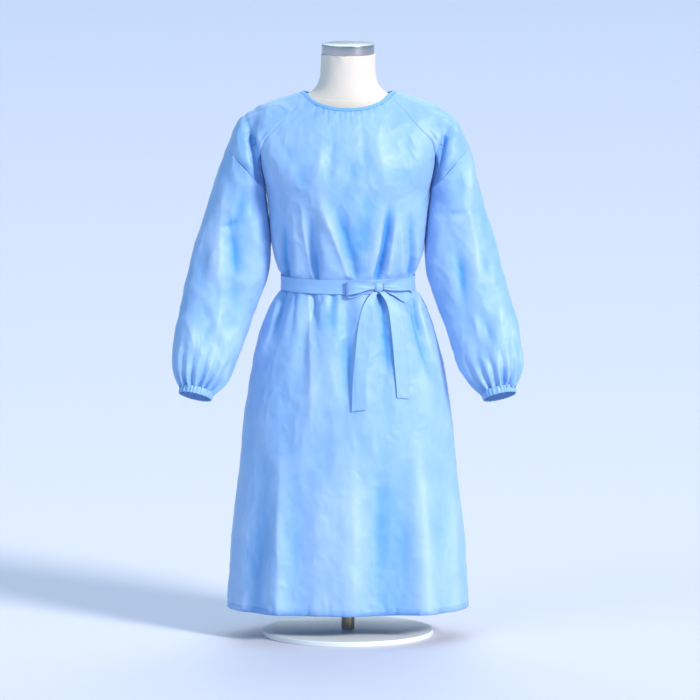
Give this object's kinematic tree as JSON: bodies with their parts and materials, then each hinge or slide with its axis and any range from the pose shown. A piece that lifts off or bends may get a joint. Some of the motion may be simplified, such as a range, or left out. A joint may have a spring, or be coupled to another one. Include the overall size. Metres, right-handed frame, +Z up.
{
  "type": "hospital gown on dress form",
  "caption": "long-sleeved isolation gown with gathered cuffs and a tied waist belt, standing open-hemmed on a limbless dress form with a round foot",
  "frame": {"origin": "centre of the base plate's underside, on the floor", "axes": "+Z up; the front of the gown, with the bow, faces -Y; +X is the side on the viewer's right"},
  "size_m": [0.7765, 0.38, 1.3243],
  "materials": {
    "gown_cloth": "soft nonwoven with a faint sheen",
    "elastic_cuff": "ribbed, gathered nonwoven over elastic",
    "binding": "folded nonwoven tape",
    "belt_cloth": "folded nonwoven",
    "form_cover": "tight plain ivory cover",
    "polished_steel": "turned and polished",
    "brass_pole": "satin",
    "painted_plate": "satin white"
  },
  "bodies": {
    "root": {"front": "gown_cloth", "back_left": "gown_cloth", "back_right": "gown_cloth", "shoulder_left": "gown_cloth", "shoulder_right": "gown_cloth", "sleeve_left": "gown_cloth", "sleeve_right": "gown_cloth", "cuff_left": "elastic_cuff", "cuff_right": "elastic_cuff", "neck_binding": "binding", "belt": "belt_cloth", "bow_knot": "belt_cloth", "bow_loop_left": "belt_cloth", "bow_loop_right": "belt_cloth", "belt_tail_left": "belt_cloth", "belt_tail_right": "belt_cloth", "form_torso": "form_cover", "neck_cap": "polished_steel", "pole": "brass_pole", "base_plate": "painted_plate"}
  },
  "joints": []
}
